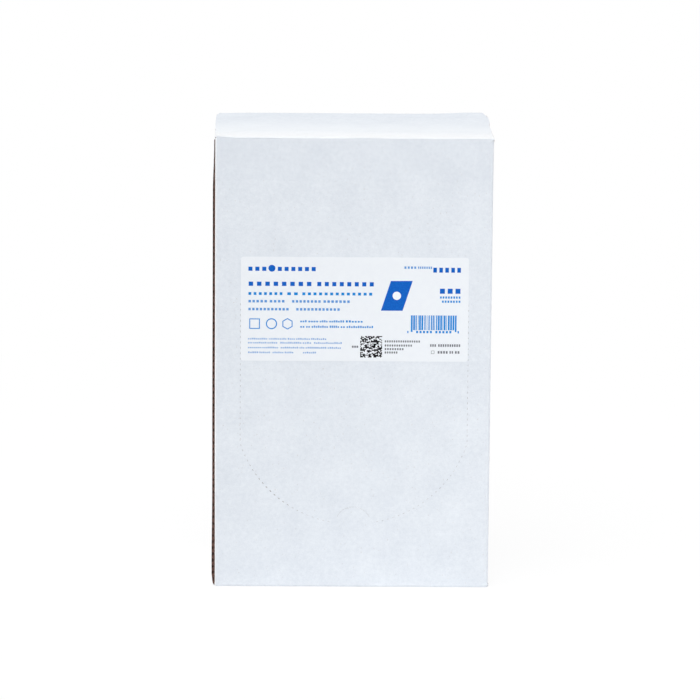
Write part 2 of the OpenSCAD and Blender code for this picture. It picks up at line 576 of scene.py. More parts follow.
@dataclass(frozen=True)
class Settling:
    """Slow bends that the panels took up when the carton was filled and closed.

    A pair is a start and an end, or the middle and the reach of a bell.
    """

    size: CartonSizes
    panel: Pair = (2.2 * MM, 8.0 * MM)
    front_dish: float = 0.20 * MM
    side_dish: float = 0.5 * MM
    back_dish: float = 0.35 * MM
    lid_dish: float = 0.8 * MM
    hinge_drop: float = 0.2 * MM
    hinge_corner: float = 1.4
    hinge_reach: float = 14 * MM
    hinge_start: float = -20 * MM
    hinge_crown: float = 0.85 * MM
    crown: Pair = (67 * MM, 15 * MM)
    seam_deep: Pair = (1.65 * MM, 2.1 * MM)
    seam_down: Pair = (1.5 * MM, 22 * MM)
    seam_wander: float = 0.14 * MM
    corner_lift: float = 0.7 * MM
    corner_reach: float = 6.0 * MM
    seam_sag: float = 0.1 * MM
    sag: Pair = (2 * MM, 42 * MM)
    pinch_top: float = 0.75 * MM
    pinch_down: Pair = (6 * MM, 30 * MM)
    pinch_mid: float = -0.1 * MM
    mid: Pair = (105 * MM, 50 * MM)
    pinch_foot: float = 1.1 * MM
    foot_high: float = 8 * MM
    foot_bulge: float = 0.35 * MM
    bulge: Pair = (14 * MM, 24 * MM)
    pinch_deep: float = 16 * MM
    pinch_wide: float = 0.98
    fold_slip: float = 0.12 * MM
    foot_slip: float = 0.18 * MM
    slip_high: Pair = (15 * MM, 90 * MM)
    slip_wide: Pair = (1, 5)
    side_lean: float = 1.0 * MM
    lean_down: Pair = (5 * MM, 16 * MM)
    lean_stop: Pair = (1.7 * MM, 2.4 * MM)
    lean_deep: float = 12 * MM

    def apply(self, points: np.ndarray) -> np.ndarray:
        """Moves points of any piece with the panel that they belong to.

        Args:
            points: The points as built, one to a row.

        Returns:
            The settled points.
        """
        s = self.size
        x, y, z = points.T
        u, v, w = x / s.half_w, y / s.half_d, 2 * z / s.height - 1
        round_u, round_v, round_w = (np.clip(1 - a * a, 0, 1) for a in (u, v, w))
        from_left, from_front, down = x + s.half_w, y + s.half_d, s.height - z
        front, back, left, right, top = (
            1 - ease(*self.panel, depth)
            for depth in (from_front, s.half_d - y, from_left, s.half_w - x, down)
        )
        moved = points.copy()
        # Dished panels, under slow waves of no exact period
        swell = 0.7 + 0.3 * np.sin(3.1 * u + 2.3 * w + 0.4) * np.cos(2.2 * v - 1.9 * w)
        dish = round_w * swell
        moved[:, 0] += (left - right) * self.side_dish * round_v * dish
        moved[:, 1] += (
            (front * self.front_dish - back * self.back_dish) * round_u * dish
        )
        slope = 0.55 + 0.45 * np.sin(1.9 * u - 0.6) + 0.15 * np.cos(6.3 * u + 3 * v)
        drop = self.lid_dish * round_v * np.clip(slope, 0, None)
        # The lid's hinge
        hinge = 1 + self.hinge_corner * bell(from_left, 0, self.hinge_reach)
        hinge = self.hinge_drop * hinge - self.hinge_crown * bell(x, *self.crown)
        moved[:, 2] -= top * (drop + hinge * ease(self.hinge_start, s.half_d, y))
        # The front panel's top edge and the lid's fold on it
        seam = 1 - ease(*self.seam_deep, from_front)
        seam *= 1 - ease(*self.seam_down, down)
        wander = np.sin(7.0 * u + 0.8) + 0.6 * np.sin(17.0 * u) + 0.35 * np.sin(41 * u)
        rise = self.seam_wander * wander * round_u
        rise += self.corner_lift * bell(x, s.fold_x, self.corner_reach)
        rise -= self.seam_sag * bell(x, *self.sag, 4)
        moved[:, 2] += seam * rise
        # The glued joint's cut end
        pinch = self.pinch_top * (1 - ease(*self.pinch_down, down))
        pinch += self.pinch_mid * bell(z, *self.mid)
        pinch += self.pinch_foot * np.clip(1 - z / self.foot_high, 0, 1) ** 2
        pinch -= self.foot_bulge * bell(z, *self.bulge)
        pinch *= 1 - ease(0, self.pinch_deep, from_front)
        inward = from_left / s.joint_board
        moved[:, 0] += pinch * np.clip(1 - inward / self.pinch_wide, 0, 1)
        slip = np.clip(inward, 0, 1) * (1 - ease(*self.slip_wide, inward)) * front
        low_down = 1 - ease(*self.slip_high, z)
        moved[:, 0] += slip * (self.fold_slip + self.foot_slip * low_down)
        # The left panel's top
        lean = (1 - ease(*self.lean_down, down)) * left
        lean *= ease(*self.lean_stop, down) * ease(0, self.lean_deep, from_front)
        moved[:, 0] += self.side_lean * (0.8 - 0.2 * v) * lean
        return moved


class Sheet:
    """A thin sheet with an outer and an inner face and walls at its cut edges."""

    def __init__(self, warp: Warp, weld: float = 2e-6) -> None:
        """Starts an empty sheet.

        Args:
            warp: Moves the finished points.
            weld: Points of patches that are closer than this become one.
        """
        self.warp, self.weld = warp, weld
        self._outer: list[np.ndarray] = []
        self._inner: list[np.ndarray] = []
        self._faces: list[tuple[int, ...]] = []
        self._count = 0

    def facets(
        self, outer: np.ndarray, inner: np.ndarray, faces: Sequence[Sequence[int]]
    ) -> None:
        """Adds a patch of any facets.

        Args:
            outer: Points on the outer face, one to a row.
            inner: The points behind them.
            faces: Facets, as indexes into the points.
        """
        self._outer.append(outer)
        self._inner.append(inner)
        self._faces.extend(tuple(i + self._count for i in face) for face in faces)
        self._count += len(outer)

    def grid(self, outer: np.ndarray, inner: np.ndarray) -> None:
        """Adds a patch of four-sided facets.

        Args:
            outer: Points on the outer face, by row, column and axis.
            inner: The points behind them.
        """
        ids = np.arange(outer[..., 0].size).reshape(outer.shape[:2])
        quads = np.stack([ids[:-1, :-1], ids[:-1, 1:], ids[1:, 1:], ids[1:, :-1]], -1)
        faces = quads.reshape(-1, 4).tolist()
        self.facets(outer.reshape(-1, 3), inner.reshape(-1, 3), faces)

    def _welded(self, points: np.ndarray) -> list[int]:
        """Finds which points are the same one.

        Args:
            points: All points of the outer face.

        Returns:
            For each point, the first one that lies in its place.
        """
        tree = KDTree(len(points))
        for i, point in enumerate(points):
            tree.insert(point, i)
        tree.balance()
        same = [-1] * len(points)
        for i, point in enumerate(points):
            if same[i] < 0:
                for _, j, _ in tree.find_range(point, self.weld):
                    if same[j] < 0:
                        same[j] = i
        return same

    def mesh(self, name: str, smooth_angle: float = 35.0) -> bpy.types.Mesh:
        """Closes the sheet and makes its mesh.

        Args:
            name: The mesh's name.
            smooth_angle: Folds sharper than this, in degrees, stay sharp.

        Returns:
            A closed mesh with the depth below the outer face, in millimetres,
            at each point.
        """
        outer, inner = np.concatenate(self._outer), np.concatenate(self._inner)
        same = self._welded(outer)
        used: dict[int, int] = {}
        faces: list[list[int]] = []
        edges: dict[tuple[int, int], int] = {}
        for face in self._faces:
            ring = [same[i] for i in face]
            ring = [a for a, b in zip(ring, ring[1:] + ring[:1]) if a != b]
            if len(ring) < 3:
                continue
            faces.append([used.setdefault(i, len(used)) for i in ring])
            for a, b in zip(faces[-1], faces[-1][1:] + faces[-1][:1]):
                key = (min(a, b), max(a, b))
                edges[key] = edges.get(key, 0) + 1
        order = np.array(list(used))
        outer, inner = outer[order], inner[order]
        depth = np.linalg.norm(outer - inner, axis=1) / MM
        points = np.concatenate([self.warp(outer), self.warp(inner)]).tolist()
        n = len(order)
        walls = [[a, b, b + n, a + n] for (a, b), count in edges.items() if count == 1]
        backs = [[i + n for i in reversed(face)] for face in faces]
        mesh = bpy.data.meshes.new(name)
        mesh.from_pydata(points, [], faces + backs + walls)
        bm = bmesh.new()
        bm.from_mesh(mesh)
        bmesh.ops.recalc_face_normals(bm, faces=bm.faces)
        bm.to_mesh(mesh)
        bm.free()
        values = np.concatenate([np.zeros(n), depth]).astype(np.float32)
        mesh.attributes.new("depth", "FLOAT", "POINT").data.foreach_set("value", values)
        mesh.shade_smooth()
        mesh.set_sharp_from_angle(angle=math.radians(smooth_angle))
        return mesh


def add_piece(
    mesh: bpy.types.Mesh,
    material: bpy.types.Material,
    slot: Slot,
    *replaced: str,
) -> bpy.types.Object:
    """Puts a finished mesh into the scene and ties it to the CAD body.

    Args:
        mesh: The mesh, whose name the piece takes.
        material: Its finish.
        slot: The record's slot that the finish belongs to; not used.
        replaced: CAD nodes that the piece stands for.

    Returns:
        The new piece.
    """
    piece = put(mesh.name, mesh)
    mesh.materials.append(material)
    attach(piece, BODY)
    if replaced:
        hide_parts(*replaced)
    LOG.info("%s: %d faces", piece.name, len(mesh.polygons))
    return piece


# ---------------------------------------------------------------------------
# Folded board


@dataclass(frozen=True)
class Hatch:
    """Perforated outline of the tear-out hatch and its thumb tab."""

    size: CartonSizes
    margin: float = 12.98 * MM
    base: float = 35.6 * MM
    bow: float = 45.6 * MM
    shift: float = 0.48 * MM
    top: float = 160 * MM
    cut: float = 1.25 * MM
    body_share: float = 0.36
    bridge: float = 1.78 * MM
    knife: float = 0.11 * MM
    opened: float = 0.17 * MM
    open_x: float = -43 * MM
    open_reach: float = 11 * MM
    thumb_r: float = 9.8 * MM
    thumb_gap: float = 2 * MM
    thumb_knife: float = 0.06 * MM
    thumb_steps: int = 22
    thumb_end: float = 25.0

    @property
    def half(self) -> float:
        """Half the width of the hatch."""
        return (self.size.half_w - self.size.fold_x) / 2 - self.margin

    @property
    def mid(self) -> float:
        """Middle of the hatch."""
        return self.size.front_mid + self.shift

    def _slit(self, x: float, z: float, angle: float) -> list[Pair]:
        """Outlines one knife cut with pointed ends.

        Args:
            x: Its middle across the panel.
            z: Its middle up the panel.
            angle: Its direction, in degrees from level.

        Returns:
            Six corners.
        """
        along = Vector((math.cos(math.radians(angle)), math.sin(math.radians(angle))))
        wide = self.knife + self.opened * bell(x, self.open_x, self.open_reach)
        side = Vector((-along.y, along.x)) * (wide / 2)
        tip, body = along * (self.cut / 2), along * (self.cut * self.body_share)
        middle = Vector((x, z))
        ring = [
            middle - tip,
            middle - body - side,
            middle + body - side,
            middle + tip,
            middle + body + side,
            middle - body + side,
        ]
        return [tuple(corner) for corner in ring]

    def slits(self) -> list[list[Pair]]:
        """Outlines every cut: both straight sides, both arcs and the thumb slit.

        Returns:
            Closed outlines in the plane of the front panel.
        """
        half, mid = self.half, self.mid
        radius = (half * half + self.bow * self.bow) / (2 * self.bow)
        centre, shoulder = self.base + radius, self.base + self.bow
        pitch = self.cut + self.bridge
        low = math.degrees(math.asin((centre - shoulder) / radius))
        thumb = math.degrees(math.asin((self.thumb_r + self.thumb_gap) / radius))
        span = 90 - low - thumb
        sides = math.floor((self.top - shoulder) / pitch)
        arcs = math.floor(math.radians(span) * radius / pitch)
        made: list[list[Pair]] = []
        for side in (-1, 1):
            for i in range(sides):
                z = shoulder + (i + 0.5) * pitch
                made.append(self._slit(mid + side * half, z, 90))
            for i in range(arcs):
                turn = low + (i + 0.5) * span / arcs
                x = mid + side * radius * math.cos(math.radians(turn))
                z = centre - radius * math.sin(math.radians(turn))
                made.append(self._slit(x, z, side * (90 - turn)))
        bend = arc(self.thumb_end, 180 - self.thumb_end, self.thumb_steps)
        outer, inner = (
            [(mid + r * a, self.base + r * b) for a, b in bend]
            for r in (
                self.thumb_r + self.thumb_knife / 2,
                self.thumb_r - self.thumb_knife / 2,
            )
        )
        return [*made, outer + inner[::-1]]


@dataclass(frozen=True)
class Column:
    """One upright line of the folded board: its place, outward side and depth."""

    x: float
    y: float
    nx: float
    ny: float
    thick: float


@dataclass(frozen=True)
class RaggedEdge:
    """How far a cut edge stands in along its length, in millimetres.

    A bell has a depth, a place, a reach and a power; the ramp a depth, a start
    and a length; the wave a depth and a turn, in radians to a millimetre.
    """

    base: float
    bells: tuple[tuple[float, float, float, float], ...]
    ramp: Place
    wave: Pair

    def inset(self, at: float) -> float:
        """Gives the inset at a distance along the edge.

        Args:
            at: The distance from the hinge.

        Returns:
            How far the edge stands in there.
        """
        depth, start, length = self.ramp
        inset = self.base + depth * min(1.0, max(0.0, at - start) / length)
        inset += self.wave[0] * math.sin(self.wave[1] * at)
        return inset + sum(deep * bell(at, *where) for deep, *where in self.bells)


@dataclass
class FoldedBoard:
    """The carton's blank, folded up: four panels, dust flaps, lid and base.

    A crush is a row of pairs: distance from the cut edge and depth.
    """

    size: CartonSizes
    settling: Settling
    hatch: Hatch
    row_step: float = 4 * MM
    col_step: float = 4 * MM
    rim_row_step: float = 3 * MM
    step: float = 0.01 * MM
    fold_steps: int = 5
    slot_gap: float = 0.7 * MM
    flap_len: float = 30 * MM
    flap_sink: float = 0.06 * MM
    glue_flap: float = 30 * MM
    glue_rest: float = 2 * MM
    glue_share: float = 0.94
    glue_round: float = 0.02 * MM
    joint_drop: float = 0.3 * MM
    glue_drop: float = 0.25
    right_drop: float = 0.06
    foot_drop: float = 0.3
    corner_rise: float = 0.2
    tuck_len: float = 18 * MM
    tuck_half_w: float = 71.4 * MM
    tuck_taper: float = 0.05
    tuck_drop: float = 0.2 * MM
    nose_start: float = 0.3 * MM
    nose_end: float = 0.3 * MM
    rim_start: float = 6.5 * MM
    corner_rows: tuple[float, ...] = (0.9 * MM, 2 * MM, 3.4 * MM, 5 * MM)
    burr: float = 0.35 * MM
    foot_z: float = 0.15 * MM
    joint_foot: float = 0.5 * MM
    slit_clear: float = 0.5 * MM
    thumb_clear: float = 0.7 * MM
    top_crush: tuple[Pair, ...] = (
        (1.3 * MM, 0.0),
        (0.6 * MM, 0.0),
        (0.35 * MM, 0.03 * MM),
        (0.15 * MM, 0.08 * MM),
        (0.0, 0.16 * MM),
    )
    foot_crush: tuple[Pair, ...] = (
        (2.0 * MM, -0.01 * MM),
        (1.6 * MM, -0.06 * MM),
        (1.15 * MM, -0.10 * MM),
        (0.95 * MM, -0.09 * MM),
        (0.7 * MM, -0.03 * MM),
        (0.35 * MM, 0.07 * MM),
        (0.0, 0.18 * MM),
    )
    left_edge: RaggedEdge = RaggedEdge(
        0.08, ((1.7, 0, 3.6, 1.4),), ramp=(0.6, 38, 42), wave=(0.08, 0.35)
    )
    right_edge: RaggedEdge = RaggedEdge(
        -0.45,
        ((2.8, 0, 10.5, 1.7), (0.5, 38, 9.0, 4), (0.45, 60, 3.2, 2)),
        ramp=(-0.35, 70, 12),
        wave=(0.1, 0.9),
    )
    sheet: Sheet = field(init=False)

    def __post_init__(self) -> None:
        """Starts the sheet that the panels are added to."""
        self.sheet = Sheet(self.settling.apply)

    def _bend(self, cx: float, cy: float, start: float, stop: float) -> list[Column]:
        """Rounds a folded corner.

        Args:
            cx: Centre of the round, across.
            cy: Centre of the round, front to back.
            start: Outward direction where it starts, in degrees.
            stop: Outward direction where it ends.

        Returns:
            The columns round the fold.
        """
        r, thick = self.size.fold, self.size.board
        turn = arc(start, stop, self.fold_steps)
        return [Column(cx + r * n[0], cy + r * n[1], *n, thick) for n in turn]

    def _tight_fold(self, thick: float) -> list[Column]:
        """Rounds the fold beside the glued joint, where the board is crushed.

        Args:
            thick: Depth of the board on both sides of it.

        Returns:
            The columns from the front panel to the glued strip.
        """
        s = self.size
        r = s.joint_fold
        centre = Vector((s.joint_x + r, -s.half_d + r))
        corner = centre + Vector((thick - r, thick - r))
        made = []
        for n in map(Vector, arc(-90, -180, self.fold_steps)):
            outer = centre + n * r
            across = outer - (corner - n * self.glue_round)
            made.append(Column(*outer, *(across / across.length), across.length))
        return made

    def _lid_columns(self, left: float, right: float) -> list[float]:
        """Places the upright lines of the lid and of the back panel.

        Args:
            left: Distance of the left edge from the middle.
            right: Distance of the right edge from the middle.

        Returns:
            Places across, from left to right, with the rims' steps.
        """
        reach = self.size.flute_reach
        flat = self.size.half_w - reach
        share = np.linspace(0, 1, len(spread(-flat, flat, self.col_step)))
        start, stop = -left + reach + self.step, right - reach - self.step
        middle = (start + (stop - start) * share).tolist()
        return [-left, -left + reach, *middle, right - reach, right]

    def _upright(
        self,
        columns: Sequence[Column],
        heights: np.ndarray,
        press: np.ndarray | float = 0.0,
        burr: float = 0.0,
    ) -> None:
        """Adds a panel that stands upright.

        Args:
            columns: Its upright lines in order.
            heights: Heights by row and column, or by row alone.
            press: How far its outer face is pressed in, by row and column.
            burr: How far the inner side of the last row stands higher.
        """
        shape = heights.shape[0], len(columns)
        outer = np.empty((*shape, 3))
        outer[..., :2] = [[c.x, c.y] for c in columns]
        outer[..., 2] = heights
        inner = outer.copy()
        inner[..., :2] -= [[c.nx * c.thick, c.ny * c.thick] for c in columns]
        inner[-1, :, 2] += burr
        pressed = np.broadcast_to(press, shape)[..., None]
        outer[..., :2] -= np.array([[c.nx, c.ny] for c in columns]) * pressed
        self.sheet.grid(outer, inner)

    def _cut_end(
        self,
        columns: Sequence[Column],
        edges: np.ndarray,
        profile: Sequence[Pair],
        base: bool,
    ) -> None:
        """Adds the front panel's strip between a crease and its crushed cut edge.

        Args:
            columns: Upright lines in order.
            edges: Distance from the crease to the cut edge at each of them.
            profile: The crush of the cut edge.
            base: Whether this is the lower end.
        """
        longest = edges.max()
        down, press = np.array([(longest, 0.0), *profile]).T[..., None]
        share = edges[None, :] / longest
        heights = self.size.crease_z + edges[None, :] - down * share
        burr = -self.burr
        if base:
            heights, burr = self.size.height - heights, -burr
        self._upright(columns, heights, press * share, burr)

    def _both_ends(self, columns: Sequence[Column], rises: Sequence[float]) -> None:
        """Adds a strip over the creases of the lid and, mirrored, of the base.

        Args:
            columns: Upright lines in order.
            rises: Height of the cut edge over the crease at each of them.
        """
        heights = self.size.crease_z + np.linspace(0, 1, 3)[:, None] * np.array(rises)
        self._upright(columns, heights)
        self._upright(columns, self.size.height - heights)

    def _panels(self) -> None:
        """Adds the four panels, the folds between them and the dust flaps."""
        s = self.size
        rows = np.array(spread(s.height - s.crease_z, s.crease_z, self.row_step))
        flat_y, flat_x = s.half_d - s.fold, s.half_w - s.fold
        front_y = -s.half_d + 2 * s.board + 2 * s.tuck_gap
        cut = -s.half_d + s.joint_recess
        rim = min(cut + s.flute_reach, front_y - 2 * self.step)
        raw = [
            Column(-s.half_w, y, -1, 0, thick)
            for y, thick in (
                (cut, s.liner),
                (rim, s.liner),
                (rim + self.step, s.joint_board),
            )
        ]
        flap_ys = spread(front_y, flat_y - self.slot_gap, self.col_step)
        glued = -s.half_d + self.glue_flap + self.glue_rest
        left = [
            Column(-s.half_w, y, -1, 0, s.joint_board if y < glued else s.board)
            for y in [*flap_ys, flat_y]
        ]
        back_xs = self._lid_columns(flat_x, flat_x)
        back = [Column(x, s.half_d, 0, 1, s.board) for x in back_xs]
        right_ys = [flat_y, *flap_ys[::-1], -flat_y]
        right = [Column(s.half_w, y, 1, 0, s.board) for y in right_ys]
        left_bend = self._bend(-flat_x, flat_y, 180, 90)
        right_bend = self._bend(flat_x, flat_y, 90, 0)
        front_bend = self._bend(flat_x, -flat_y, 0, -90)
        run = [*raw, *left, *left_bend[1:-1], *back, *right_bend[1:-1], *right]
        self._upright(run + front_bend[1:], rows[:, None])
        thin = s.board * self.glue_share
        glue_bend = self._tight_fold(thin)
        glue_y = -s.half_d + s.joint_fold
        glue_ys = spread(glue_y, glue_y + self.glue_flap, self.col_step)[1:]
        strip = [Column(s.joint_x, y, -1, 0, thin) for y in glue_ys]
        self._upright(glue_bend + strip, rows[:, None])
        self._front(rows.tolist())
        # Ends above the lid's creases and below the base's
        front = [
            Column(x, -s.half_d, 0, -1, s.board) for x in self._front_columns()[1:-1]
        ]
        slope = np.linspace(0, 1, self.fold_steps + 1)
        strip = [*glue_bend[::-1], *front, *front_bend[::-1]]
        at_glue, at_right = self.glue_drop * (1 - slope), self.right_drop * slope
        share = np.concatenate([1 - at_glue, np.ones(len(front)), 1 - at_right])
        top, foot = s.edge_z - s.crease_z, s.height - s.crease_z - self.foot_z
        self._cut_end(strip, share * top, self.top_crush, False)
        share = 1 - self.foot_drop * (1 - share)
        self._cut_end(strip, share * foot, self.foot_crush, True)
        rise = s.flap_z - s.crease_z
        corner = [*raw, left[0]]
        self._upright(corner, s.crease_z + np.array([[0], [rise - self.joint_drop]]))
        self._upright(corner, np.array([[s.height - s.crease_z], [self.joint_foot]]))
        climb = self.corner_rise + (1 - self.corner_rise) * slope[:-1]
        rises = [*climb, *np.ones(len(back)), *climb[::-1]]
        ends = [*left_bend[:-1], *back, *right_bend[1:]]
        self._both_ends(ends, rise * np.array(rises))
        for side in (-1, 1):
            self._dust_flap(side, flap_ys)

    def _front_columns(self) -> list[float]:
        """Places the front panel's upright lines, from left to right."""
        s = self.size
        return spread(s.joint_x + s.joint_fold, s.half_w - s.fold, self.col_step)

    def _front(self, rows: Sequence[float]) -> None:
        """Adds the front panel, with the hatch's cuts left open.

        Args:
            rows: Heights of the lines that it shares with its neighbours.
        """
        s, unit = self.size, 1 / MM
        slits = self.hatch.slits()
        centres = np.array([np.mean(c, axis=0) for c in slits[:-1]])
        clear = self.hatch.cut / 2 + self.slit_clear
        thumb = self.hatch.mid, self.hatch.base
        xs = self._front_columns()
        points: list[Vector] = []
        for i, x in enumerate(xs):
            for j, z in enumerate(rows):
                rim = i in (0, len(xs) - 1) or j in (0, len(rows) - 1)
                from_thumb = abs(math.dist((x, z), thumb) - self.hatch.thumb_r)
                near = np.hypot(*(centres - (x, z)).T).min() < clear
                if rim or not (near or from_thumb < self.thumb_clear):
                    points.append(Vector((x, z)) * unit)
        rings: list[list[int]] = []
        for slit in slits:
            rings.append(list(range(len(points), len(points) + len(slit))))
            points += [Vector(p) * unit for p in slit]
        made, _, faces, _, _, origin = delaunay_2d_cdt(points, [], rings, 0, 1e-5)
        flat = np.array([[p.x, 0, p.y] for p in made]) / unit
        outer, inner = (flat + [0, y, 0] for y in (-s.half_d, s.board - s.half_d))
        solid = [face for face, source in zip(faces, origin) if not source]
        self.sheet.facets(outer, inner, solid)

    def _dust_flap(self, side: int, ys: Sequence[float]) -> None:
        """Adds the flap that folds in from a side panel, at the lid and the base.

        Args:
            side: -1 on the left and 1 on the right.
            ys: Places of its lines, front to back.
        """
        s = self.size
        x = s.half_w - s.fold
        turn = arc(0, 90, self.fold_steps)
        line = [(x + s.fold * n[0], s.crease_z + s.fold * n[1], *n) for n in turn]
        flat = spread(0, self.flap_len, self.col_step)[1:]
        line += [(x - d, s.flap_z, *UP) for d in flat]
        sink = np.linspace(0, self.flap_sink, len(line))
        sink[: self.fold_steps - 1] = 0
        xs, zs, nxs, nzs = np.array(line).T[..., None]
        level = np.broadcast_to(ys, (len(line), len(ys)))
        outer = np.stack(np.broadcast_arrays(side * xs, level, zs - sink[:, None]), -1)
        depth = np.stack([side * nxs, 0 * nxs, nzs], -1) * s.board
        patch = outer, outer - depth
        self.sheet.grid(*patch)
        self.sheet.grid(*map(self._mirrored, patch))

    def _mirrored(self, points: np.ndarray) -> np.ndarray:
        """Gives the mirror image at the base of points at the lid's end."""
        return points * (1, 1, -1) + (0, 0, self.size.height)

    def lid_edge(self, y: float, side: int) -> float:
        """Gives how far the lid's cut edge stands from the middle.

        Args:
            y: Place front to back.
            side: -1 on the left and 1 on the right.

        Returns:
            The distance, smaller at the rounded back corner.
        """
        s = self.size
        from_hinge = max(0.0, s.half_d - s.fold - y) / MM
        edge = self.right_edge if side > 0 else self.left_edge
        return s.lid_half_w - edge.inset(from_hinge) * MM

    def edges(self, y: float) -> Pair:
        """Gives how far the lid's left and right edges stand from the middle."""
        return self.lid_edge(y, -1), self.lid_edge(y, 1)

    def _closing_panel(self, base: bool) -> None:
        """Adds the lid or the base, from hinge to tucked edge.

        Args:
            base: Whether it is the base, whose fold stays behind the front panel.
        """
        s = self.size
        hinge_y, hinge_z = s.half_d - s.fold, s.height - s.fold
        (tuck_y, tuck_z), tuck_r = s.nose_mid, s.nose_r
        if base:
            tuck_y, tuck_z, tuck_r = s.tuck_y + s.fold, hinge_z, s.fold
        outer: list[np.ndarray] = []
        inner: list[np.ndarray] = []

        def line(
            y: float, z: float, n: Pair, edges: Pair, depths: Pair = (s.board, s.board)
        ) -> None:
            """Adds a line of points across the panel.

            Args:
                y: Its place front to back.
                z: Its height.
                n: Its outward direction, front to back and in height.
                edges: Distances of its ends from the middle.
                depths: Depth of the board at the rims and between them.
            """
            xs = self._lid_columns(*edges)
            thick = np.full(len(xs), depths[1])
            thick[[0, 1, -2, -1]] = depths[0]
            outer.append(np.array([(x, y, z) for x in xs]))
            inner.append(outer[-1] - np.outer(thick, (0, *n)))

        hinge_w = s.half_w - s.fold
        for i, n in enumerate(arc(0, 90, self.fold_steps)):
            edges = self.edges(hinge_y) if i else (hinge_w, hinge_w)
            line(hinge_y + s.fold * n[0], hinge_z + s.fold * n[1], n, edges)
        rim_back, rim_front = hinge_y - self.rim_start, tuck_y + s.nose_rim
        for y in [*(hinge_y - d for d in self.corner_rows), rim_back + self.step]:
            line(y, s.height, UP, self.edges(y))
        for y in spread(rim_back, rim_front, self.rim_row_step):
            line(y, s.height, UP, self.edges(y), (s.liner, s.board))
        edges = self.edges(tuck_y)
        line(tuck_y + self.nose_start, s.height, UP, edges)
        pressed = min(s.board, tuck_r)
        for n in arc(90, 180, self.fold_steps):
            y, z = tuck_y + tuck_r * n[0], tuck_z + tuck_r * n[1]
            line(y, z, n, edges, (pressed, pressed))
        shoulder = s.crease_z - self.tuck_drop
        under = [] if base else [s.edge_z - self.nose_end]
        for z in under + spread(shoulder, s.height - self.tuck_len, self.row_step):
            half = self.tuck_half_w - self.tuck_taper * (shoulder - z)
            line(s.tuck_y, z, (-1, 0), (half, half))
        patch = np.array(outer), np.array(inner)
        self.sheet.grid(*(map(self._mirrored, patch) if base else patch))

    def build(self, material: bpy.types.Material) -> bpy.types.Object:
        """Builds the folded board.

        Args:
            material: Its finish.

        Returns:
            The piece, which stands for the CAD carton.
        """
        self._panels()
        self._closing_panel(False)
        self._closing_panel(True)
        mesh = self.sheet.mesh("folded_board")
        return add_piece(mesh, material, Slot.BOARD, "carton")


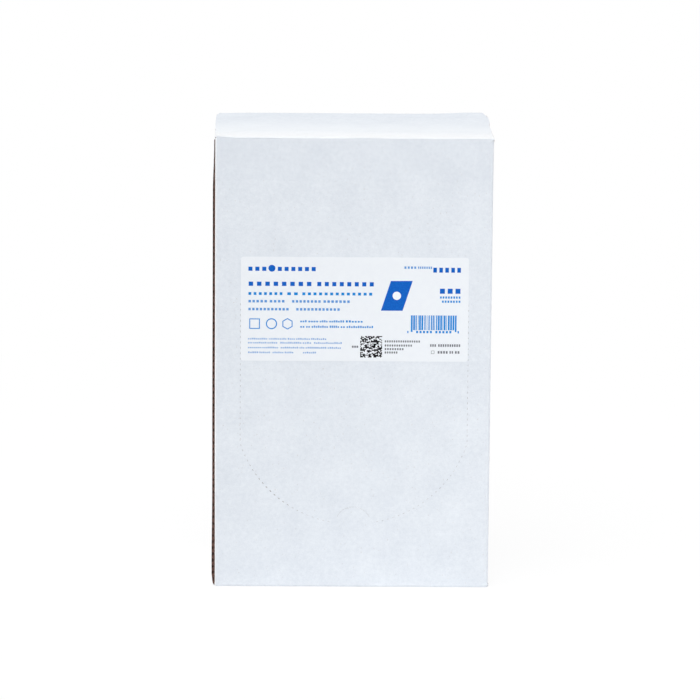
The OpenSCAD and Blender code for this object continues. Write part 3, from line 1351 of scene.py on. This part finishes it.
@dataclass
class OpenFlutes:
    """Fluted paper and inner liner that show in the board's cut edges."""

    size: CartonSizes
    settling: Settling
    board: FoldedBoard
    points_per_wave: int = 14
    set_back: float = 0.12 * MM
    overlap: float = 0.4 * MM
    swing_share: float = 0.98
    medium_share: float = 0.96
    skin: float = 0.01 * MM
    liner_step: float = 2.5 * MM
    drifts: tuple[int, ...] = (5, 11, 23, 31)
    drift: Pair = (0.02, 0.05)
    joint_ends: Pair = (0.1 * MM, 0.4 * MM)
    joint_seed: int = 3
    first_seed: int = 20

    def _strip(
        self, sheet: Sheet, length: float, place: Warp, seed: int, filled: bool = False
    ) -> None:
        """Adds the paper of one cut edge.

        Args:
            sheet: The sheet that takes it.
            length: Length of the edge.
            place: Turns (along, into, deep) into a place in the frame.
            seed: Start of its small irregularities.
            filled: Whether the paper is smeared over to the inner liner.
        """
        s = self.size
        rng = random.Random(seed)

        def band(along: np.ndarray, deep: np.ndarray, start: float) -> np.ndarray:
            """Places a band that runs along the edge and reaches into the board.

            Args:
                along: Places along the edge.
                deep: Depth under the outer face at each of them.
                start: How far behind the edge the band starts.

            Returns:
                Its points by place, side and axis.
            """
            reach = s.flute_reach + self.overlap + start - self.set_back
            points = [(a, i, d) for a, d in zip(along, deep) for i in (start, reach)]
            return place(np.array(points)).reshape(-1, 2, 3)

        count = int(length / s.flute_pitch * self.points_per_wave)
        along = np.linspace(0, length, count + 1)
        drift = sum(
            rng.uniform(*self.drift)
            * np.sin(2 * np.pi * along / length * k + rng.uniform(0, 6))
            for k in self.drifts
        )
        phase = 2 * np.pi * (along / s.flute_pitch + drift)
        swing = (s.board - 2 * s.liner - s.medium) / 2 * self.swing_share
        depth = s.board / 2 + swing * np.cos(phase)
        slope = np.gradient(depth, along)
        half = s.medium / 2 * self.medium_share / np.hypot(1, slope)
        faces = [
            band(along - sign * half * slope, depth + sign * half, self.set_back)
            for sign in (-1, 1)
        ]
        if filled:
            smeared = np.full_like(depth, s.board - s.liner / 2)
            faces[1] = band(along, smeared, self.set_back)
        sheet.grid(*faces)
        run = np.linspace(0, length, int(length / self.liner_step) + 1)
        depths = s.board - s.liner, s.board - self.skin
        sheet.grid(*(band(run, np.full_like(run, d), 0.0) for d in depths))

    def build(self, material: bpy.types.Material) -> list[bpy.types.Object]:
        """Builds the open flutes of the glued joint, the lid and the base.

        Args:
            material: The brown paper's finish.

        Returns:
            The pieces.
        """
        s = self.size
        joint, ends = Sheet(self.settling.apply), Sheet(self.settling.apply)
        low = self.board.joint_foot + self.joint_ends[0]
        high = s.flap_z - self.joint_ends[1]

        def at_joint(p: np.ndarray) -> np.ndarray:
            """Places points of the left panel's cut end, which faces forward.

            Args:
                p: Points along the edge, into the board and deep.

            Returns:
                The points in the frame.
            """
            x = -s.half_w + p[:, 2] * s.joint_board / s.board
            y = -s.half_d + s.joint_recess + p[:, 1]
            return np.stack([x, y, low + p[:, 0]], 1)

        def at_closure(side: int, base: bool) -> Warp:
            """Gives the placing of one cut side of the lid or of the base.

            Args:
                side: -1 on the left and 1 on the right.
                base: Whether it is the base.

            Returns:
                The function that places its points.
            """

            def place(p: np.ndarray) -> np.ndarray:
                """Places points of that cut side.

                Args:
                    p: Points along the edge, into the board and deep.

                Returns:
                    The points in the frame.
                """
                y = back - p[:, 0]
                edge = np.array([self.board.lid_edge(v, side) for v in y])
                z = p[:, 2] if base else s.height - p[:, 2]
                return np.stack([side * (edge - p[:, 1]), y, z], 1)

            return place

        self._strip(joint, high - low, at_joint, self.joint_seed, filled=True)
        back = s.half_d - s.fold - self.board.rim_start
        long = back - s.nose_mid[0] - s.nose_rim
        closures = [(-1, False), (1, False), (-1, True), (1, True)]
        for seed, closure in enumerate(closures, self.first_seed):
            self._strip(ends, long, at_closure(*closure), seed)
        return [
            add_piece(joint.mesh("joint_flutes"), material, Slot.BOARD),
            add_piece(ends.mesh("closure_flutes"), material, Slot.BOARD),
        ]


# ---------------------------------------------------------------------------
# Label


class Ink(Enum):
    """Inks of the label's print."""

    BLUE = "ink_blue"
    PALE_BLUE = "ink_pale_blue"
    BRIGHT_BLUE = "ink_bright_blue"
    GREY = "ink_grey"
    DARK = "ink_dark"
    WHITE = "ink_white"


@dataclass(frozen=True)
class Bars:
    """A row of plain small blocks that stands where a line of print would.

    A group is its left end, its right end and its number of blocks.
    """

    ink: Ink
    top: float
    height: float
    groups: tuple[tuple[float, float, int], ...]
    gap: float
    uneven: bool = False


@dataclass(frozen=True)
class Mark:
    """A plain regular shape: filled, or an outline where it has a stroke."""

    ink: Ink
    x: float
    y: float
    radius: float
    sides: int
    turn: float
    stroke: float = 0.0


@dataclass
class Label:
    """The adhesive label and its generic print: bars, stripes and outlines.

    Places on it are in millimetres from its left and top edges.
    """

    size: CartonSizes
    settling: Settling
    left_shift: float = -0.28 * MM
    right_shift: float = -0.15 * MM
    bottom_shift: float = -0.2 * MM
    radius: float = 1.5 * MM
    paper: Pair = (0.002 * MM, 0.09 * MM)
    ink: Pair = (0.085 * MM, 0.108 * MM)
    over_ink: float = 0.012 * MM
    print_shift: float = -0.35 * MM
    grid_step: float = 3 * MM
    corner_steps: int = 6
    seed: int = 11
    low_share: float = 0.6
    low_height: float = 0.74
    patch: tuple[Pair, ...] = ((81.9, 13.0), (93.8, 12.9), (88.4, 29.5), (76.6, 29.5))
    stripe: float = 0.32
    stripe_top: float = 32.0
    stripe_heights: Pair = (8.2, 9.2)
    stripe_span: Pair = (93.0, 117.9)
    stripe_ends: Pair = (93.9, 116.9)
    stripe_last: float = 117.5
    cells: int = 23
    cells_left: float = 65.5
    cells_top: float = 43.65
    cells_side: float = 11.95
    cells_share: float = 0.6
    marks: tuple[Mark, ...] = (
        Mark(Ink.BLUE, 17.2, 6.3, 1.9, 28, 0),
        Mark(Ink.BRIGHT_BLUE, 7.9, 37.1, 4.1, 4, 45, 0.72),
        Mark(Ink.BRIGHT_BLUE, 17.1, 37.1, 3.05, 40, 0, 0.6),
        Mark(Ink.BRIGHT_BLUE, 25.8, 37.1, 3.2, 6, 30, 0.6),
        Mark(Ink.GREY, 105.1, 52.5, 1.25, 4, 45, 0.3),
        Mark(Ink.WHITE, 85.2, 21.2, 2.3, 28, 0),
    )
    rows: tuple[Bars, ...] = (
        Bars(Ink.BLUE, 5.5, 2.3, ((4.4, 14.2, 3), (20.4, 41.0, 6)), 0.4),
        Bars(Ink.BLUE, 13.75, 2.35, ((4.6, 38.7, 8), (41.9, 72.6, 8)), 0.46),
        Bars(
            Ink.BRIGHT_BLUE, 19.6, 1.55,
            ((4.5, 23.0, 7), (25.6, 31.3, 2), (33.8, 71.8, 13)),
            0.46,
        ),
        Bars(
            Ink.PALE_BLUE, 23.9, 1.4,
            ((4.5, 14.6, 5), (16.1, 24.1, 4), (28.2, 43.8, 8), (45.3, 59.6, 7)),
            0.36,
        ),
        Bars(Ink.PALE_BLUE, 28.3, 1.4, ((4.5, 26.4, 11), (30.5, 54.2, 12)), 0.36),
        Bars(
            Ink.BRIGHT_BLUE, 35.0, 1.2,
            (
                (32.8, 36.2, 3), (37.2, 42.4, 4), (43.4, 47.6, 4), (48.6, 56.6, 7),
                (57.6, 66.7, 6),
            ),
            0.34, True,
        ),
        Bars(
            Ink.BRIGHT_BLUE, 38.0, 1.2,
            (
                (32.8, 35.0, 2), (36.0, 38.0, 2), (39.0, 47.8, 8), (48.8, 53.8, 5),
                (54.8, 57.0, 2), (58.0, 72.4, 12),
            ),
            0.34, True,
        ),
        Bars(
            Ink.PALE_BLUE, 45.0, 0.9,
            (
                (4.4, 14.6, 10), (15.8, 25.2, 10), (26.0, 29.8, 4), (30.6, 38.0, 7),
                (38.8, 46.9, 8),
            ),
            0.4, True,
        ),
        Bars(
            Ink.PALE_BLUE, 47.2, 0.9,
            (
                (4.4, 6.4, 2), (7.2, 14.2, 7), (15.0, 20.2, 5), (22.0, 33.4, 11),
                (34.2, 38.6, 4), (40.4, 55.4, 14),
            ),
            0.4, True,
        ),
        Bars(
            Ink.PALE_BLUE, 49.9, 0.9,
            (
                (4.4, 11.4, 7), (12.2, 20.6, 9), (22.2, 31.6, 9), (32.4, 35.0, 3),
                (35.8, 47.0, 11), (47.8, 54.9, 7),
            ),
            0.4, True,
        ),
        Bars(
            Ink.PALE_BLUE, 52.6, 0.9,
            (
                (4.5, 9.8, 5), (10.6, 16.2, 6), (17.8, 23.6, 6), (24.4, 29.0, 5),
                (34.4, 41.3, 7),
            ),
            0.4, True,
        ),
        Bars(Ink.PALE_BLUE, 4.9, 1.3, ((89.2, 95.6, 4), (96.6, 104.2, 8)), 0.38),
        Bars(Ink.BLUE, 5.5, 2.7, ((104.9, 119.9, 5),), 0.4),
        Bars(Ink.BLUE, 17.1, 2.8, ((108.6, 119.8, 3),), 0.36),
        Bars(Ink.BRIGHT_BLUE, 21.4, 1.2, ((108.7, 119.8, 8),), 0.36),
        Bars(Ink.BRIGHT_BLUE, 23.7, 1.2, ((109.8, 119.8, 7),), 0.36),
        Bars(
            Ink.BRIGHT_BLUE, 40.6, 1.3,
            ((91.1, 92.2, 1), (95.9, 104.5, 5), (106.4, 115.1, 5), (118.5, 119.8, 1)),
            0.42,
        ),
        Bars(Ink.GREY, 49.1, 1.1, ((61.0, 64.4, 3),), 0.25),
        Bars(Ink.GREY, 46.0, 1.1, ((78.9, 98.0, 16),), 0.38),
        Bars(Ink.GREY, 48.3, 1.1, ((78.9, 93.7, 12),), 0.38),
        Bars(Ink.GREY, 50.3, 1.1, ((78.9, 89.1, 8),), 0.38),
        Bars(Ink.GREY, 52.2, 1.1, ((78.9, 85.8, 6),), 0.38),
        Bars(Ink.GREY, 48.0, 1.4, ((103.6, 106.8, 3), (108.0, 120.0, 10)), 0.34),
        Bars(
            Ink.GREY, 51.8, 1.4,
            ((107.8, 113.2, 4), (114.2, 116.2, 2), (117.2, 119.6, 2)),
            0.34,
        ),
    )

    def __post_init__(self) -> None:
        """Reads the label's place and makes a sheet for each ink."""
        low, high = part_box("label")
        self.left, self.right = low.x + self.left_shift, high.x + self.right_shift
        self.bottom, self.top = low.z + self.bottom_shift, high.z
        self.sheets = {ink: Sheet(self.settling.apply, weld=1e-6) for ink in Ink}

    def _paper(self) -> Sheet:
        """Makes the label itself, with rounded corners.

        Returns:
            The sheet.
        """
        r = self.radius
        turn = arc(0, 90, self.corner_steps)
        low = [(self.bottom + r - r * a, r - r * b) for a, b in turn]
        mid = spread(self.bottom + r, self.top - r, self.grid_step)[1:-1]
        levels = [*low, *((z, 0.0) for z in mid)]
        levels += [(self.top + self.bottom - z, inset) for z, inset in low[::-1]]
        cols = len(spread(self.left, self.right, self.grid_step))
        outer = np.empty((len(levels), cols, 3))
        for i, (z, inset) in enumerate(levels):
            outer[i, :, 0] = np.linspace(self.left + inset, self.right - inset, cols)
            outer[i, :, 2] = z
        inner = outer.copy()
        inner[..., 1], outer[..., 1] = (-self.size.half_d - d for d in self.paper)
        sheet = Sheet(self.settling.apply)
        sheet.grid(outer, inner)
        return sheet

    def _shape(
        self,
        ink: Ink,
        points: Sequence[Pair],
        faces: Sequence[Sequence[int]],
        lift: float = 0.0,
    ) -> None:
        """Prints facets.

        Args:
            ink: The ink.
            points: Corners.
            faces: Facets, as indexes into the corners.
            lift: Height over other ink.
        """
        flat = np.array(points) * MM
        x, z = self.left + self.print_shift + flat[:, 0], self.top - flat[:, 1]
        inner, outer = (
            np.stack([x, np.full_like(x, -self.size.half_d - d - lift), z], 1)
            for d in self.ink
        )
        self.sheets[ink].facets(outer, inner, faces)

    def _block(self, ink: Ink, x: float, top: float, wide: float, high: float) -> None:
        """Prints one plain block from its left and top edges, width and height."""
        ring = [(x, top), (x + wide, top), (x + wide, top + high), (x, top + high)]
        self._shape(ink, ring, [(0, 1, 2, 3)])

    def _mark(self, mark: Mark) -> None:
        """Prints one regular shape.

        Args:
            mark: Its ink, place and sizes.
        """
        n, centre = mark.sides, np.array((mark.x, mark.y))
        turn = np.array(arc(mark.turn, mark.turn + 360, n)[:-1])
        ring = centre + mark.radius * turn
        if not mark.stroke:
            lift = self.over_ink if mark.ink is Ink.WHITE else 0.0
            self._shape(mark.ink, ring, [tuple(range(n))], lift)
            return
        inner = centre + (mark.radius - mark.stroke) * turn
        faces = [(i, (i + 1) % n, (i + 1) % n + n, i + n) for i in range(n)]
        self._shape(mark.ink, [*ring, *inner], faces)

    def _bars(self, row: Bars, rng: random.Random) -> None:
        """Prints one row of plain blocks.

        Args:
            row: Its ink, place and sizes.
            rng: Source of the heights of an uneven row.
        """
        for start, stop, count in row.groups:
            pitch = (stop - start) / max(1.0, count - row.gap)
            for i in range(count):
                low = row.uneven and rng.random() < self.low_share
                high = row.height * (self.low_height if low else 1)
                top = row.top + row.height - high
                wide = pitch * (1 - row.gap)
                self._block(row.ink, start + i * pitch, top, wide, high)

    def _stripes(self, rng: random.Random) -> None:
        """Prints upright stripes of mixed width, taller at both ends.

        Args:
            rng: Source of the widths.
        """
        x, stop = self.stripe_span
        while x < self.stripe_last:
            wide = self.stripe * rng.choice((1, 2, 2, 3, 3))
            tall = not self.stripe_ends[0] <= x <= self.stripe_ends[1]
            high = self.stripe_heights[tall]
            wide_here = min(wide, stop - x)
            self._block(Ink.BRIGHT_BLUE, x, self.stripe_top, wide_here, high)
            x += wide + self.stripe * rng.choice((1, 1, 1, 2, 2))

    def _cells(self, rng: random.Random) -> None:
        """Prints a square of dark and clear cells in no order.

        Args:
            rng: Source of the pattern.
        """
        unit = self.cells_side / self.cells
        for row in range(self.cells):
            col, top = 0, self.cells_top + row * unit
            while col < self.cells:
                run = min(rng.choice((1, 1, 2)), self.cells - col)
                if rng.random() < self.cells_share:
                    left = self.cells_left + col * unit
                    self._block(Ink.DARK, left, top, run * unit, unit)
                col += run

    def build(
        self, paper: bpy.types.Material, inks: dict[Ink, bpy.types.Material]
    ) -> list[bpy.types.Object]:
        """Builds the label and its print.

        Args:
            paper: The label's finish.
            inks: Finish of each ink.

        Returns:
            The pieces.
        """
        sheet = self._paper().mesh("label_sheet")
        pieces = [add_piece(sheet, paper, Slot.LABEL, "label")]
        heights = random.Random(self.seed)
        for row in self.rows:
            self._bars(row, heights)
        for mark in self.marks:
            self._mark(mark)
        self._shape(Ink.BLUE, self.patch, [(0, 1, 2, 3)])
        pattern = random.Random(self.seed + 1)
        self._stripes(pattern)
        self._cells(pattern)
        for ink, sheet in self.sheets.items():
            mesh = sheet.mesh(ink.value.replace("ink", "print"))
            pieces.append(add_piece(mesh, inks[ink], Slot.LABEL))
        return pieces


# ---------------------------------------------------------------------------
# Tape


@dataclass
class SealTape:
    """Clear tape from the front panel over the seam to the lid, round the sides."""

    size: CartonSizes
    settling: Settling
    board: FoldedBoard
    film: float = 0.03 * MM
    lift: float = 0.02 * MM
    ear_lift: float = 0.06 * MM
    ear_len: float = 20 * MM
    ear_start: float = 0.5 * MM
    ear_rim: float = 0.8 * MM
    on_lid: float = 25.5 * MM
    corner_rise: float = 0.4 * MM
    step: float = 3 * MM
    bends: int = 5
    levels: int = 9
    smooth_angle: float = 60.0

    def __post_init__(self) -> None:
        """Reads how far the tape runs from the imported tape."""
        low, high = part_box("top_tape")
        self.low, self.side_y = low.z, high.y
        self.lid_y = -self.size.half_d + self.on_lid
        self.sheet = Sheet(self.settling.apply)

    def _film(self, lines: Sequence[np.ndarray], lift: float) -> None:
        """Adds film over lines of points, each with its outward direction."""
        base, normal = np.split(np.array(lines), 2, axis=-1)
        self.sheet.grid(base + normal * (lift + self.film), base + normal * lift)

    def _wrap(self) -> list[float]:
        """Adds the band on the front panel with its ends round the sides.

        Returns:
            Places of its lines across the front panel.
        """
        s = self.size
        flat_x, flat_y, side_top = s.half_w - s.fold, s.half_d - s.fold, s.crease_z
        xs = spread(-s.lid_half_w, flat_x, self.step)
        left_ys = spread(self.side_y, -s.half_d + 2 * s.fold, self.step)
        right_ys = spread(-flat_y, self.side_y, self.step)[1:]
        line = [(-s.half_w, y, -1, 0, side_top) for y in left_ys]
        corner = -s.half_w, -s.half_d
        line.append((*corner, -1, 0, side_top + self.corner_rise))
        for turn, n in zip((0.25, 0.5, 0.75), arc(202.5, 247.5, 2)):
            line.append((*corner, *n, side_top + turn * MM))
        line.append((*corner, 0, -1, s.edge_z - self.corner_rise))
        line += [(x, -s.half_d, 0, -1, s.edge_z) for x in xs]
        for i, n in enumerate(arc(-90, 0, self.bends)[1:], 1):
            top = s.edge_z - (s.edge_z - side_top) * i / self.bends
            line.append((flat_x + s.fold * n[0], -flat_y + s.fold * n[1], *n, top))
        line += [(s.half_w, y, 1, 0, side_top) for y in right_ys]
        low = self.low
        rows = [
            [(x, y, low + share * (top - low), *n, 0) for x, y, *n, top in line]
            for share in np.linspace(0, 1, self.levels)
        ]
        self._film(rows, self.lift)
        return xs

    def _over(self, xs: Sequence[float]) -> None:
        """Adds the film over the step and the front of the lid.

        Args:
            xs: Places of the lines that it shares with the front band.
        """
        s = self.size
        inner_xs = [*xs[1:], (xs[-1] + s.lid_half_w) / 2]
        mid_y, mid_z = s.nose_mid
        across = mid_y + s.half_d, mid_z - s.edge_z
        rise = math.asin(s.nose_r / math.hypot(*across)) + math.atan2(*across[::-1])
        line = [(-s.half_d, s.edge_z, -1, 0)]
        for n in arc(90 + math.degrees(rise), 90, self.bends):
            line.append((mid_y + s.nose_r * n[0], mid_z + s.nose_r * n[1], *n))
        line += [(y, s.height, *UP) for y in spread(mid_y, self.lid_y, self.step)[1:]]
        rows = []
        for y, z, *n in line:
            edges = s.lid_half_w, s.lid_half_w
            if y > mid_y - 1e-9:
                edges = self.board.edges(y)
            row = [-edges[0], *inner_xs, edges[1]]
            rows.append([(x, y, z, 0, *n) for x in row])
        self._film(rows, self.lift)

    def _ears(self) -> None:
        """Adds the ends of the film's upper half, folded down over the sides."""
        s = self.size
        zs = spread(s.crease_z, s.crease_z - self.ear_len, self.step)
        ys = spread(s.nose_mid[0] + self.ear_start, self.lid_y, self.step)
        for side in (-1, 1):
            rows = []
            for y in ys:
                edge = self.board.lid_edge(y, side)
                line = [(edge - self.ear_rim, s.height, *UP)]
                line += [(edge, s.height, *n) for n in arc(90, 30, 2)]
                line += [(s.half_w, z, 1, 0) for z in zs]
                rows.append([(side * x, y, z, side * a, 0, b) for x, z, a, b in line])
            self._film(rows, self.ear_lift)

    def build(self, material: bpy.types.Material) -> bpy.types.Object:
        """Builds the tape.

        Args:
            material: Its finish.

        Returns:
            The piece, which stands for the CAD tape.
        """
        self._over(self._wrap())
        self._ears()
        mesh = self.sheet.mesh("seal_tape", self.smooth_angle)
        piece = add_piece(mesh, material, Slot.TAPE, "top_tape")
        piece.visible_shadow = piece.visible_diffuse = False
        return piece


# ---------------------------------------------------------------------------
# Studio


@dataclass(frozen=True)
class Lamp:
    """One soft area lamp, aimed at the carton."""

    name: str
    place: Place
    wide: float
    watts: float
    aim: Place = (0.0, 0.0, 0.12)


@dataclass
class Studio:
    """Pale floor, soft lamps, white surroundings and the camera."""

    sky: float = 0.4
    sun: float = 2.18
    sun_spread: float = 50.0
    sun_from: Place = (-0.2, -0.5, 1.2)
    floor_half: float = 30.0
    floor_squares: int = 8
    floor_pale: Colour = (0.9, 0.9, 0.9)
    floor_white: float = 0.92
    floor_span: Pair = (0.25, 0.6)
    lamps: tuple[Lamp, ...] = (
        Lamp("right_lamp", (0.4, -0.25, 0.04), 0.28, 0.38, (0.0, 0.0, 0.05)),
        Lamp("left_lamp", (-1.2, -0.25, 0.35), 0.9, 1.0),
    )
    lens: float = 252.0
    sensor: float = 36.0
    clip: Pair = (0.1, 200.0)
    aim: Place = (-0.00048, 0.0, 0.12428)
    distance: float = 2.7154
    yaw: float = 0.650
    pitch: float = 11.998
    roll: float = 0.454

    def _white_view(self, r: Recipe) -> Sock:
        """Tells which rays show the surroundings: seen, mirrored or let through.

        Args:
            r: The recipe that takes the nodes.

        Returns:
            1 for those rays, else 0.
        """
        rays = r.add("ShaderNodeLightPath", {}).outputs
        names = ("Is Camera Ray", "Is Glossy Ray", "Is Transmission Ray")
        seen, mirrored, through = (Sock(r, rays[name]) for name in names)
        return (seen + mirrored + through) > 0.5

    def _world(self) -> None:
        """Makes the white surroundings."""
        world = bpy.data.worlds.new("studio")
        bpy.context.scene.world = world
        r = Recipe(world)
        light, white = (
            r.node("ShaderNodeBackground", {"Color": WHITE, "Strength": strength})
            for strength in (self.sky, 1.0)
        )
        mixed = {0: self._white_view(r), 1: light, 2: white}
        r.finish(r.node("ShaderNodeMixShader", mixed))

    def _floor(self) -> None:
        """Makes the floor, which turns plain white away from the carton."""
        r = Recipe.material("floor")
        place, seen = r.place(), self._white_view(r)
        colour = r.blend(self.floor_pale, WHITE, seen)
        paint = r.node("ShaderNodeBsdfDiffuse", {"Color": colour})
        away = r.node("ShaderNodeVectorMath", {0: place}, "Value", operation="LENGTH")
        white = r.node("ShaderNodeEmission", {"Color": WHITE, "Strength": 1.0})
        share = away.rise(*self.floor_span) * (1 - self.floor_white)
        share = (share + self.floor_white) * seen
        mixed = {0: share, 1: paint, 2: white}
        material = r.finish(r.node("ShaderNodeMixShader", mixed))
        n = self.floor_squares
        bm = bmesh.new()
        bmesh.ops.create_grid(bm, x_segments=n, y_segments=n, size=self.floor_half)
        mesh = bpy.data.meshes.new("floor")
        bm.to_mesh(mesh)
        bm.free()
        mesh.materials.append(material)
        put("floor", mesh)

    def _aimed(self, data: Any, place: Place, aim: Place) -> None:
        """Adds a light that looks from a place to a point.

        Args:
            data: The light's data.
            place: Where it stands.
            aim: Where it looks.
        """
        lamp = put(data.name, data)
        lamp.location = place
        look = Vector(aim) - Vector(place)
        lamp.rotation_euler = look.to_track_quat("-Z", "Y").to_euler()

    def _lights(self) -> None:
        """Hangs the lamps."""
        sun = bpy.data.lights.new("soft_sun", "SUN")
        sun.energy, sun.angle = self.sun, math.radians(self.sun_spread)
        self._aimed(sun, self.sun_from, (0.0, 0.0, 0.0))
        for lamp in self.lamps:
            data = bpy.data.lights.new(lamp.name, "AREA")
            data.shape, data.size, data.energy = "DISK", lamp.wide, lamp.watts
            self._aimed(data, lamp.place, lamp.aim)

    def _camera(self) -> None:
        """Sets up the camera."""
        yaw, pitch, roll = map(math.radians, (self.yaw, self.pitch, self.roll))
        ahead = Vector((math.sin(yaw), math.cos(yaw), 0.0))
        look = ahead * math.cos(pitch) - Vector((0.0, 0.0, math.sin(pitch)))
        right = Vector((math.cos(yaw), -math.sin(yaw), 0.0))
        up = right.cross(look)
        side = right * math.cos(roll) + up * math.sin(roll)
        head = up * math.cos(roll) - right * math.sin(roll)
        data = bpy.data.cameras.new("camera")
        data.lens, data.sensor_width = self.lens, self.sensor
        data.clip_start, data.clip_end = self.clip
        camera = put("camera", data)
        turn = Matrix((side, head, -look)).transposed().to_4x4()
        place = Vector(self.aim) - look * self.distance
        camera.matrix_world = Matrix.Translation(place) @ turn
        bpy.context.scene.camera = camera

    def build(self) -> None:
        """Builds the studio and sets plain colour management."""
        self._world()
        self._floor()
        self._lights()
        self._camera()
        bpy.context.scene.view_settings.view_transform = "Standard"


def ink_materials() -> dict[Ink, bpy.types.Material]:
    """Makes the finish of each ink.

    Returns:
        The materials by ink.
    """
    tones = {
        Ink.BLUE: (srgb(0, 90, 188), srgb(10, 106, 200), 0.15),
        Ink.PALE_BLUE: (srgb(70, 138, 208), srgb(110, 165, 222), 0.5),
        Ink.BRIGHT_BLUE: (srgb(0, 130, 210), srgb(8, 140, 216), 0.15),
        Ink.GREY: (srgb(92, 94, 102), srgb(128, 130, 138), 0.5),
        Ink.DARK: (srgb(14, 12, 16), srgb(38, 36, 42), 0.15),
        Ink.WHITE: (srgb(243, 246, 250), srgb(238, 242, 248), 0.5),
    }
    return {ink: InkFinish(ink.value, *tone).build() for ink, tone in tones.items()}


def main() -> None:
    """Builds the carton, its label, its tape and the studio."""
    logging.basicConfig(level=logging.INFO, format="%(message)s")
    size = CartonSizes.from_frame()
    settling = Settling(size)
    board = FoldedBoard(size, settling, Hatch(size))
    board.build(BoardFinish().build())
    OpenFlutes(size, settling, board).build(KRAFT.build())
    Label(size, settling).build(LABEL_PAPER.build(), ink_materials())
    SealTape(size, settling, board).build(FilmFinish().build())
    Studio().build()


if __name__ == "__main__":
    main()
